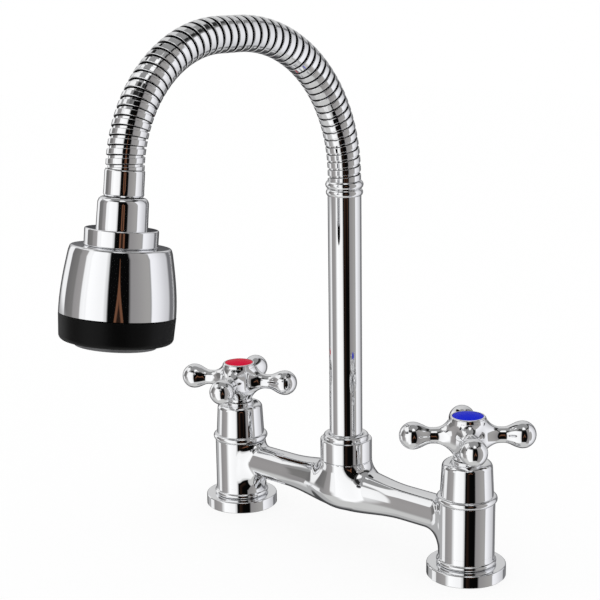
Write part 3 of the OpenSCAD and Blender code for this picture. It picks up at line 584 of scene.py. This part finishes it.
bead = bead_h / 2
bead_end = (bead_d / 2 - bead + bead * math.cos(math.radians(bead_stop)),
            pillar_top + bead + bead * math.sin(math.radians(bead_stop)))
for side_name, x in side_places.items():
    shroud = turned(side_name + "_valve_shroud", [
        [(pillar_d / 2 - shroud_lap, pillar_top + skin_lap),
         (bead_d / 2 - bead, pillar_top + skin_lap)],
        bend(bead_d / 2 - bead, pillar_top + bead, bead, -90, bead_stop, 14),
        [bead_end, (shroud_d / 2, pillar_top + bead_h)],
        [(shroud_d / 2, pillar_top + bead_h), (shroud_top_d / 2, shroud_top - shroud_edge)],
        bend(shroud_top_d / 2 - shroud_edge, shroud_top - shroud_edge, shroud_edge, 0, 90, 12),
        [(shroud_top_d / 2 - shroud_edge, shroud_top), (lip_d / 2, shroud_top)],
        [(lip_d / 2, shroud_top), (lip_d / 2, lip_top - lip_edge)],
        bend(lip_d / 2 - lip_edge, lip_top - lip_edge, lip_edge, 0, 90, 5),
        [(lip_d / 2 - lip_edge, lip_top), (spindle_gap_d / 2, lip_top)],
        [(spindle_gap_d / 2, lip_top), (spindle_gap_d / 2, lip_top - lip_depth)]], at(x))
    fitted(shroud, chrome_plate, "chrome", "root", side_name + "_shroud")


# Cross handles
# Each is one forging: a waisted hub and four arms that swell out of it and end in balls, polished
# and chrome plated. A recess in the top takes the coloured button.
hub_z = 77.3
hub_h = 28
hub_top_d = 22.6
hub_mid_d = 25.6
hub_foot_d = 17.6
grip_rise = 15.4
waist_drop = 3
brow_rise = 2
grip_d = 10.2
ball_d = 17.34
ball_reach = 34.48
ball_fillet = 4
root_fillet = 7
hub_rim = 1.0
foot_land = 2.0
hub_slant = 1.15
hub_cut = 2.4
hub_rim_h = 4.2
hub_rim_lap = 0.03
button_d = 19.8
button_gap = 0.1
recess = 2.2
forging_step = 0.6
handle_angles = {"hot": 23.8, "cold": 41.6}


def hub_radius(z):
    """radius of the hub at height z above its foot"""
    waist = grip_rise - waist_drop
    brow = grip_rise + brow_rise
    lower = hub_foot_d / 2 + (hub_mid_d - hub_foot_d) / 2 * np.sin(
        np.pi / 2 * np.clip((z - foot_land) / (waist - foot_land), 0, 1))
    shoulder = np.clip((z - brow) / (hub_h - brow), 0, 1)
    return lower - (hub_mid_d - hub_top_d) / 2 * (1 - np.cos(np.pi / 2 * shoulder))


def forging(x, y, z):
    """distance in mm to the surface of a handle that stands on z = 0; the hub's side slants, so its
    distance is a little less than the one measured level"""
    body = (np.hypot(x, y) - hub_radius(z)) / hub_slant
    for turn_x, turn_y in ((1, 0), (0, 1), (-1, 0), (0, -1)):
        out = x * turn_x + y * turn_y
        across = y * turn_x - x * turn_y
        radial = np.hypot(across, z - grip_rise)
        past = out - ball_reach
        before = -out
        arm = np.maximum(radial - grip_d / 2, np.maximum(past, before))
        ball = np.sqrt(past ** 2 + radial ** 2) - ball_d / 2
        body = fillet(body, fillet(arm, ball, ball_fillet), root_fillet)
    return np.maximum(np.maximum(body, z - (hub_h - hub_cut)), -z)


for side_name, x in side_places.items():
    where = at(x, hub_z) @ Matrix.Rotation(math.radians(handle_angles[side_name]), 4, "Z")
    reach = ball_reach + ball_d / 2 + 1
    handle = skin(side_name + "_cross_handle", forging, (-reach, -reach, -1), (reach, reach, hub_h),
                  forging_step, where)
    fitted(handle, chrome_plate, "chrome", side_name + "_valve", side_name + "_handle")
    top = hub_top_d / 2
    rim = turned(side_name + "_hub_rim", [
        [(float(hub_radius(z)) + hub_rim_lap, z)
         for z in np.linspace(hub_h - hub_rim_h, hub_h - hub_rim, 6)],
        bend(top - hub_rim + hub_rim_lap, hub_h - hub_rim, hub_rim, 0, 90),
        [(top - hub_rim + hub_rim_lap, hub_h), (button_d / 2 + button_gap, hub_h)],
        [(button_d / 2 + button_gap, hub_h), (button_d / 2 + button_gap, hub_h - recess)]], where)
    fitted(rim, chrome_plate, "chrome", side_name + "_valve")


# Buttons
# Domed discs of coloured enamel, red for hot and blue for cold. Each is pressed into the recess of
# its hub, where it hides the handle's screw.
button_dome = 1.9
button_edge = 0.3
button_colours = {"hot": ("red", (0.56, 0.002, 0.030), (0.68, 0.006, 0.045)),
                  "cold": ("blue", (0.004, 0.010, 0.46), (0.012, 0.025, 0.64))}


def enamel(name, deep, bright):
    """glossy fired enamel, a little cloudy in its depth"""
    made, finish, place = new_finish(name)
    cloud = finish.node("ShaderNodeTexNoise", None, {"Vector": place, "Scale": 70.0, "Detail": 2.0})
    ripple = finish.node("ShaderNodeTexNoise", None, {"Vector": place, "Scale": 300.0, "Detail": 1.0})
    bump = finish.node("ShaderNodeBump", None, {"Strength": 0.08, "Distance": 0.02 * mm, "Height": ripple})
    surface = finish.node("ShaderNodeBsdfPrincipled", None, {
        "Base Color": finish.mix(cloud, (*deep, 1), (*bright, 1)),
        "Roughness": 0.22 + 0.1 * cloud, "Specular IOR Level": 0.03, "Normal": bump})
    finish.node("ShaderNodeOutputMaterial", None, {"Surface": surface})
    return made


for side_name, x in side_places.items():
    r = button_d / 2
    dome_r = ((r - button_edge) ** 2 + button_dome ** 2) / (2 * button_dome)
    half_angle = math.degrees(math.asin((r - button_edge) / dome_r))
    button = turned(side_name + "_enamel_button", [
        [(r, -recess + button_gap), (r, -button_edge)],
        bend(r - button_edge, -button_edge, button_edge, 0, 90, 4),
        bend(0, button_dome - dome_r, dome_r, 90 - half_angle, 90, 16)],
        at(x, hub_z + hub_h))
    colour, deep, bright = button_colours[side_name]
    fitted(button, enamel(colour + " enamel", deep, bright), colour + "_enamel",
           side_name + "_valve", side_name + "_button")


# Riser
# A coupling nut and a loose collar, turned brass, hold the swivelling foot of a drawn brass tube.
# All that shows is chrome plated; the washer inside is nylon.
tube_d = 22
tube_z = 56
riser_len = 183
nut_d = 34.8
nut_top = 70.2
nut_edge = 1.0
nut_gap = 0.05
nut_chamfer = 0.5
nut_land = 3
collar_d = 30.4
collar_top = 73.6
collar_gap = 0.1
collar_sink = 2
collar_flat = 0.05
guide_gap = 0.08
tube_wall = 1.5

nut = turned("coupling_nut", [
    [(tube_d / 2 + nut_land, tee_top + nut_gap), (nut_d / 2 - nut_chamfer, tee_top + nut_gap)],
    [(nut_d / 2 - nut_chamfer, tee_top + nut_gap), (nut_d / 2, tee_top + nut_chamfer)],
    [(nut_d / 2, tee_top + nut_chamfer), (nut_d / 2, nut_top - nut_edge)],
    bend(nut_d / 2 - nut_edge, nut_top - nut_edge, nut_edge, 0, 90),
    [(nut_d / 2 - nut_edge, nut_top), (collar_d / 2 + collar_gap, nut_top)],
    [(collar_d / 2 + collar_gap, nut_top), (collar_d / 2 + collar_gap, nut_top - collar_sink)]])
fitted(nut, chrome_plate, "chrome", "root", "riser_nut")
bore = tube_d / 2 + guide_gap
collar_round = (collar_d / 2 - bore) / 2 - collar_flat
collar = turned("riser_guide_collar", [
    [(collar_d / 2, nut_top - collar_sink), (collar_d / 2, collar_top - collar_round)],
    bend(collar_d / 2 - collar_round, collar_top - collar_round, collar_round, 0, 90, 10),
    [(collar_d / 2 - collar_round, collar_top), (bore + collar_round, collar_top)],
    bend(bore + collar_round, collar_top - collar_round, collar_round, 90, 180, 10),
    [(bore, collar_top - collar_round), (bore, nut_top - collar_sink)]])
fitted(collar, chrome_plate, "chrome", "root", "riser_collar")
finished(moulded("natural nylon", (0.80, 0.80, 0.76), (0.88, 0.88, 0.85), 0.5), "riser_washer")
tube = turned("riser_pipe", [
    [(tube_d / 2 - tube_wall, tube_z), (tube_d / 2, tube_z)],
    [(tube_d / 2, tube_z), (tube_d / 2, tube_z + riser_len)],
    [(tube_d / 2, tube_z + riser_len), (tube_d / 2 - tube_wall, tube_z + riser_len)]])
fitted(tube, chrome_plate, "chrome", "spout", "riser_tube")


# Ferrule
# A turned brass ring with two rounded beads, chrome plated. It is pressed over the end of the tube
# and holds the hose there.
ferrule_z = 235
ferrule_h = 10
ferrule_d = 24.8
ferrule_bore_r = 9.4
ferrule_wall = 1.1
ferrule_valley = 1.4
ferrule_foot_step = 0.35
ferrule_top_step = 0.3
bead_fullness = 0.7


def ferrule_outline(low, high):
    """stretch of the two beads' outline; 0 to 1 is the lower bead and 1 to 2 the upper one"""
    steps = np.linspace(low, high, 13)
    crest = [tube_d / 2 + ferrule_wall if high <= 1 else ferrule_d / 2] * len(steps)
    return [(c - ferrule_valley * (1 - abs(math.sin(math.pi * t)) ** bead_fullness),
             ferrule_z + ferrule_h / 2 * t) for c, t in zip(crest, steps)]


ferrule = turned("hose_end_ferrule", [
    [(tube_d / 2, ferrule_z),
     (tube_d / 2 + ferrule_wall - ferrule_valley + ferrule_foot_step, ferrule_z)],
    ferrule_outline(0.04, 1), ferrule_outline(1, 1.97),
    [(ferrule_d / 2 - ferrule_valley + ferrule_top_step, ferrule_z + ferrule_h),
     (ferrule_bore_r, ferrule_z + ferrule_h)]])
fitted(ferrule, chrome_plate, "chrome", "spout", "hose_ferrule")


# Gooseneck hose
# Strip of chromed steel wound in a right-handed spiral on itself, so that each turn hooks over the
# next: it bends by hand and stays. A plastic tube inside carries the water. Each piece runs over
# one joint of the chain, from the middle of one link to the middle of the next.
hose_d = 21.6
groove_d = 19.2
hose_start = 245
rise_bend = 95
crown_run = 16.5
fall_bend = 76
head_lean = 7
end_run = 3
links = 8
liner_d = 14.4
hose_sides = 72
liner_sides = 32
# half the length of hose round a joint, at whose two ends the centre line is found
ease = 11.0

rise_arc = rise_bend * math.pi / 2
fall_turn = math.radians(90 - head_lean)
stops = np.cumsum([end_run, rise_arc, crown_run, fall_bend * fall_turn, end_run])
hose_len = stops[4]
crown_z = hose_start + end_run + rise_bend
fall_centre = (-rise_bend - crown_run, crown_z - fall_bend)


def hose_turn(s):
    """how far the hose has turned from straight up towards the sink, at distance s along it"""
    rise = np.clip((s - stops[0]) / rise_arc, 0, 1) * math.pi / 2
    return rise + np.clip((s - stops[2]) / fall_bend, 0, fall_turn)


def hose_point(s):
    """point of the centre line at distance s, as y and z"""
    t = hose_turn(s)
    straight_end = s - stops[3]
    y = np.select([s < stops[0], s < stops[1], s < stops[2], s < stops[3]],
                  [0 * s, rise_bend * (np.cos(t) - 1), -rise_bend - (s - stops[1]),
                   fall_centre[0] + fall_bend * np.cos(t)],
                  fall_centre[0] + fall_bend * np.cos(t) - straight_end * np.sin(t))
    z = np.select([s < stops[0], s < stops[1], s < stops[2], s < stops[3]],
                  [hose_start + s, hose_start + end_run + rise_bend * np.sin(t), crown_z + 0 * s,
                   fall_centre[1] + fall_bend * np.sin(t)],
                  fall_centre[1] + fall_bend * np.sin(t) + straight_end * np.cos(t))
    return y, z


# the turns lie wider at the crown, where the strip is drawn out, and closer above the head
pitch_places = (-12, 45, 85, 118, 150, 185, 215, 245, 294)
pitches = (5.5, 5.5, 5.75, 6.35, 6.4, 5.75, 5.2, 4.95, 4.9)
beyond_ends = 12
fine_step = 0.25
fine_s = np.arange(-beyond_ends, hose_len + beyond_ends, fine_step)
fine_turns = np.cumsum(fine_step / np.interp(fine_s, pitch_places, pitches))
fine_turns -= np.interp(0, fine_s, fine_turns)


def turns_at(s):
    """how many turns of the strip lie before distance s"""
    return np.interp(s, fine_s, fine_turns)


def distance_at(turns):
    """distance along the hose at which the strip has made that many turns"""
    return np.interp(turns, fine_turns, fine_s)


# outline of the strip over one turn of 5.6 mm: distance along the hose and height over the groove's
# floor in mm, and the middle of the flat that the point belongs to; the last stretch of the band's
# side and the seam under it are dull steel, painted near black as the shade that falls in the seam
strip_lead = 5.6
band = 3.8
band_rise = (hose_d - groove_d) / 2
band_edge = 0.38
seam = 0.45
seam_depth = 0.8
support = 0.06
crease = 35
weld = 0.001
corner = [(band_edge * (1 - math.cos(a)), band_rise - band_edge + band_edge * math.sin(a))
          for a in np.radians([0, 22.5, 45, 67.5, 90])]
strip = ([(0, 0)] + corner + [(band_edge + support, band_rise), (band - band_edge - support, band_rise)]
         + [(band - x, h) for x, h in corner[::-1]]
         + [(band, -seam_depth), (band + seam, -seam_depth), (band + seam, 0)])
strip_s = np.array([x for x, _ in strip]) / strip_lead
strip_h = np.array([h for _, h in strip])
strip_middle = np.where(np.arange(len(strip)) < len(strip) - 1,
                        band / 2, (band + strip_lead) / 2) / strip_lead
seam_shade_rows = range(len(strip) - 4, len(strip) - 1)


def wound(name, section, sides, start, end):
    """tube from start to end along the hose; section gives each point's place in the turn, its
    radius and the middle of its flat, and the rows of faces that get dull steel with painted seam shade"""
    places, radii, middles, dull_shaded_rows = section
    first = math.floor(turns_at(start)) - 1
    last = math.ceil(turns_at(end)) + 1
    turns = np.repeat(np.arange(first, last), len(places))
    count = len(turns)
    share = np.arange(sides + 1) / sides
    climb = turns[:, None] + share[None, :]
    s = np.clip(distance_at(climb + np.tile(places, last - first)[:, None]), start, end)
    middle = np.clip(distance_at(climb + np.tile(middles, last - first)[:, None]), start, end)
    r = np.tile(radii, last - first)[:, None]
    angle = 2 * np.pi * share[None, :]
    t = hose_turn(middle)
    y, z = hose_point(middle)
    ahead = s - middle
    outward = r * np.sin(angle)
    points = np.stack([r * np.cos(angle) + 0 * s, y + outward * np.cos(t) - ahead * np.sin(t),
                       z + outward * np.sin(t) + ahead * np.cos(t)], axis=-1)
    index = np.arange(count * (sides + 1)).reshape(count, sides + 1)
    quads = np.stack([index[:-1, :-1], index[:-1, 1:], index[1:, 1:], index[1:, :-1]], axis=-1)
    quads = quads.reshape(-1, 4)
    live = ((s[1:, :-1] - s[:-1, :-1]) + (s[1:, 1:] - s[:-1, 1:]) > 1e-6) | (
        (s[1:, :-1] > start) & (s[1:, 1:] > start) & (s[:-1, :-1] < end) & (s[:-1, 1:] < end))
    live = live.reshape(-1)
    # the seam's faces take the second material: dull steel with painted shade
    seam_shade_faces = np.isin(np.arange(count - 1) % len(places), list(dull_shaded_rows))
    seam_shade_faces = np.repeat(seam_shade_faces, sides)[live]
    mesh = bpy.data.meshes.new(name)
    mesh.from_pydata((points.reshape(-1, 3) * mm).tolist(), [], quads[live].tolist())
    mesh.polygons.foreach_set("material_index", seam_shade_faces.astype(np.int32))
    work = bmesh.new()
    work.from_mesh(mesh)
    bmesh.ops.remove_doubles(work, verts=work.verts, dist=weld * mm)
    bmesh.ops.delete(work, geom=[v for v in work.verts if not v.link_faces], context="VERTS")
    work.to_mesh(mesh)
    work.free()
    mesh.shade_smooth()
    mesh.set_sharp_from_angle(angle=math.radians(crease))
    return linked(name, mesh)


water_tube = moulded("water tube", (0.74, 0.75, 0.72), (0.84, 0.84, 0.80), 0.45)
# the seam's steel is painted near black: painted shade in the narrow seam under each band, on dull steel
seam_steel_shade = machined("dull steel painted with seam shade", (0.010, 0.010, 0.011), (0.03, 0.03, 0.032),
                      0.45, 900.0)
strip_section = (strip_s, groove_d / 2 + strip_h, strip_middle, seam_shade_rows)
liner_section = (np.array([0.0, 0.5]), np.full(2, liner_d / 2), np.array([0.0, 0.5]), [])
link_len = hose_len / links
for k in range(1, links):
    joint_s = k * link_len
    start = 0.0 if k == 1 else joint_s - link_len / 2
    end = hose_len if k == links - 1 else joint_s + link_len / 2
    hose = wound("wound_hose_%d" % k, strip_section, hose_sides, start, end)
    liner = wound("water_tube_%d" % k, liner_section, liner_sides, start, end)
    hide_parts("hose_%d" % k, *(["hose_8"] if k == links - 1 else []))
    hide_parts("inner_hose")
    for piece, materials, slot_name in ((hose, (chrome_plate, seam_steel_shade), "chrome"),
                                        (liner, (water_tube,), "hose_plastic")):
        for material in materials:
            piece.data.materials.append(material)
        ends = [hose_point(np.float64(joint_s + d)) for d in (-ease, ease)]
        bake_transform(piece)


# Spray head
# A sleeve of chrome plated brass is crimped on the hose. The union nut, collar and bell under it
# are moulded in plastic and chrome plated. The white carrier inside brings the water to the face.
head_turn = math.pi / 2 + fall_turn
head_y, head_z = hose_point(np.float64(hose_len))
head = Matrix.Translation((0, float(head_y) * mm, float(head_z) * mm)) @ Matrix.Rotation(head_turn, 4, "X")
sleeve_d = 22.4
sleeve_h = 15
sleeve_edge = 1.3
sleeve_bore_r = 9.6
sleeve_wall = 2
sleeve_chamfer = 0.6
# how far the sleeve's side opens out, at what distance from its end
sleeve_flare = ((0.04, 4), (0.08, 2.4), (0.2, 1))
union_d = 29
union_h = 18
# the nut's rounded shoulder: how far in and up its centre lies, and its two half axes
shoulder_in, shoulder_up, shoulder_r, shoulder_z = 3.0, 4.2, 2.75, 3.7
disc_d = 41.4
disc_h = 9.8
disc_edge = 0.9
# how far a piece reaches in over the one before it
lap = 2
bell_lap = 3
bell_top_d = 57
bell_d = 65.8
bell_h = 38
bell_edge = 1.6
bell_wall = 2
union_z = sleeve_h
disc_z = union_z + union_h
bell_z = disc_z + disc_h
ring_z = bell_z + bell_h

r = sleeve_d / 2
flare = [(r + out, sleeve_h - before_end) for out, before_end in sleeve_flare]
flare_end = (flare[-1][0] - sleeve_chamfer, sleeve_h)
sleeve = turned("crimped_sleeve", [
    [(sleeve_bore_r, 0), (r - sleeve_edge, 0)],
    bend(r - sleeve_edge, sleeve_edge, sleeve_edge, -90, 0),
    [(r, sleeve_edge), flare[0]],
    flare,
    [flare[-1], flare_end],
    [flare_end, (r - sleeve_wall, sleeve_h)]], head)
fitted(sleeve, chrome_plate, "chrome", "spray_head", "head_sleeve")

plated_plastic = chrome("chrome plate on plastic", (0.90, 0.905, 0.92), 0.03)
r = union_d / 2
shoulder = [(r - shoulder_in + shoulder_r * math.cos(a),
             union_z + shoulder_up - shoulder_z * math.sin(a))
            for a in np.linspace(math.pi / 2, 0, 13)]
union = turned("union_nut", [
    [(sleeve_d / 2 - lap, union_z + 0.3), (shoulder[0][0], union_z + 0.5)],
    shoulder,
    [shoulder[-1], (r, disc_z)]], head)
fitted(union, plated_plastic, "chromed_plastic", "spray_head", "head_union")
r = disc_d / 2
collar = turned("head_collar_disc", [
    [(union_d / 2 - lap, disc_z), (r - disc_edge, disc_z)],
    bend(r - disc_edge, disc_z + disc_edge, disc_edge, -90, 0),
    [(r, disc_z + disc_edge), (r, bell_z - disc_edge)],
    bend(r - disc_edge, bell_z - disc_edge, disc_edge, 0, 90)], head)
fitted(collar, plated_plastic, "chromed_plastic", "spray_head", "head_collar")


def bell_radius(share):
    """outer radius of the bell at that share of its height"""
    return bell_top_d / 2 + (bell_d - bell_top_d) / 2 * math.sin(math.pi / 2 * share)


bell_start = bell_edge / bell_h
bell = turned("bell", [
    [(disc_d / 2 - bell_lap, bell_z), (bell_top_d / 2 - bell_edge, bell_z)],
    bend(bell_top_d / 2 - bell_edge, bell_z + bell_edge, bell_edge, -90, -10, 10)
    + [(bell_radius(t), bell_z + bell_h * t) for t in np.linspace(bell_start, 1, 28)[1:]],
    [(bell_d / 2, ring_z), (bell_d / 2 - bell_wall, ring_z)],
    [(bell_radius(t) - bell_wall, bell_z + bell_h * t) for t in np.linspace(1, 0.05, 16)]], head)
fitted(bell, plated_plastic, "chromed_plastic", "spray_head", "head_bell")
finished(moulded("white carrier", (0.62, 0.62, 0.60), (0.74, 0.74, 0.72), 0.4), "head_core")


# Selector ring and spray face
# The black ring is moulded rubber on a hard core and turns by hand from stream to spray. The grey
# face that turns with it has rings of nozzles round an aerator.
ring_d = 65.9
ring_h = 15.5
ring_edge = 3.2
ring_wall = 3
ring_gap = 0.4
ring_chamfer = 0.4
ring_taper = 0.7
ring_lip = 2
ring_lip_h = 1.6
ring_top = ring_z + ring_gap
ring_foot = ring_z + ring_h

r = ring_d / 2
inner = r - ring_wall - ring_lip
selector = turned("grip_ring", [
    [(r - ring_wall, ring_top), (r - ring_chamfer, ring_top)],
    [(r - ring_chamfer, ring_top), (r, ring_top + ring_chamfer)],
    [(r, ring_top + ring_chamfer), (r - ring_taper, ring_foot - ring_edge)],
    bend(r - ring_taper - ring_edge, ring_foot - ring_edge, ring_edge, 0, 90, 12),
    [(r - ring_taper - ring_edge, ring_foot), (inner, ring_foot)],
    [(inner, ring_foot), (inner, ring_foot - ring_lip_h)]], head)
fitted(selector, black_rubber("grip rubber", 0.002, 0.36, 0.12), "rubber", "selector", "selector_ring")
grey_face = moulded("grey face", (0.10, 0.10, 0.105), (0.13, 0.13, 0.135), 0.3)
finished(grey_face, "spray_face", "aerator")
